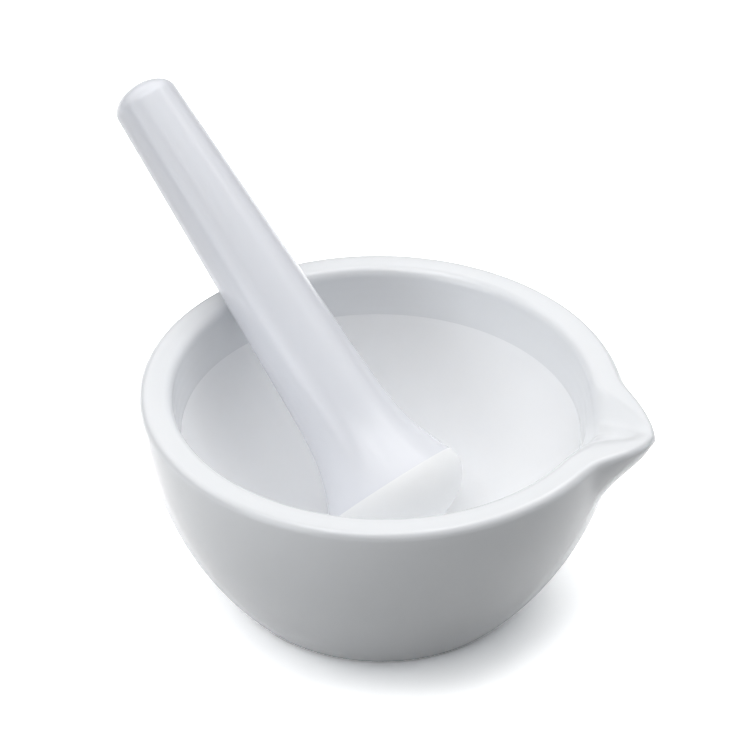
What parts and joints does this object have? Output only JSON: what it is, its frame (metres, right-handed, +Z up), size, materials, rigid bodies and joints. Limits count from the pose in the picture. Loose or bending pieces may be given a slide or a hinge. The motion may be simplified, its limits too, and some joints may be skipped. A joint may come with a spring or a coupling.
{
  "type": "mortar and pestle",
  "caption": "White porcelain laboratory mortar with a pouring spout and a flat foot, and a pestle with a flared grinding head that leans in the bowl and lifts out.",
  "frame": {"origin": "centre of the mortar's flat foot, on the surface that it stands on", "axes": "+Z up along the mortar's own axis, +X towards the pouring spout; the pestle's handle leans over the rim towards -X and +Y"},
  "size_m": [0.1908, 0.15, 0.1352],
  "materials": {
    "mortar_porcelain": "white porcelain, clear glaze outside, on the rim and in the upper bowl; matt unglazed grinding surface and foot",
    "pestle_porcelain": "slightly bluish white porcelain, clear glaze on the handle; matt unglazed grinding head"
  },
  "bodies": {
    "mortar": {"mortar": "mortar_porcelain"},
    "pestle": {"pestle": "pestle_porcelain"}
  },
  "joints": [
    {"name": "pestle_lift", "type": "slide", "parent": "mortar", "child": "pestle", "axis": [0, 0, 1], "range_m": [0, 0.1]}
  ]
}
